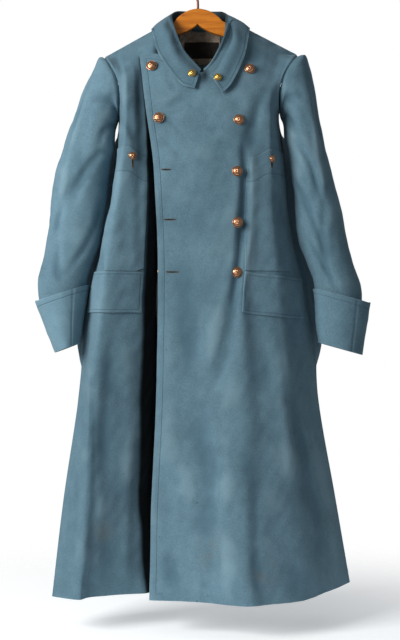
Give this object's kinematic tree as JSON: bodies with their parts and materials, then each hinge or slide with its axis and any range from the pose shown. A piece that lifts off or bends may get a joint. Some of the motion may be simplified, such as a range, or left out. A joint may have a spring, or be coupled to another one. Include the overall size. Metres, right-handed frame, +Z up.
{
  "type": "military greatcoat on a hanger",
  "caption": "Long double-breasted wool greatcoat with turned-down collar, turned-back cuffs, patch pockets and flaps, hanging on a wooden hanger by its hook.",
  "frame": {"origin": "the point inside the hook's bend that bears on the rail it hangs from", "axes": "+Z up, -Y the garment's front, +X the wearer's left"},
  "size_m": [0.715, 0.2736, 1.3321],
  "materials": {
    "cloth": "grey-blue milled wool cloth with a short nap",
    "buttons": "domed copper-coloured metal, dulled in the hollows",
    "small_buttons": "domed yellow brass",
    "lining": "grey-brown satin",
    "label": "plain black woven tape",
    "wood": "orange-brown varnish",
    "hook_metal": "red-brown lacquered wire"
  },
  "bodies": {
    "root": {"front_left": "cloth", "front_right": "cloth", "back": "cloth", "collar": "cloth", "sleeve_left": "cloth", "cuff_left": "cloth", "breast_pocket_left": "cloth", "pocket_flap_left": "cloth", "pocket_button_left": "buttons", "collar_button_left": "small_buttons", "sleeve_right": "cloth", "cuff_right": "cloth", "breast_pocket_right": "cloth", "pocket_flap_right": "cloth", "pocket_button_right": "buttons", "collar_button_right": "small_buttons", "button_left_1": "buttons", "button_left_2": "buttons", "button_left_3": "buttons", "button_left_4": "buttons", "button_left_5": "buttons", "button_right_1": "buttons", "button_right_2": "buttons", "button_right_3": "buttons", "button_right_4": "buttons", "button_right_5": "buttons", "neck_lining": "lining", "neck_label": "label", "hanger": "wood", "hook": "hook_metal"}
  },
  "joints": []
}
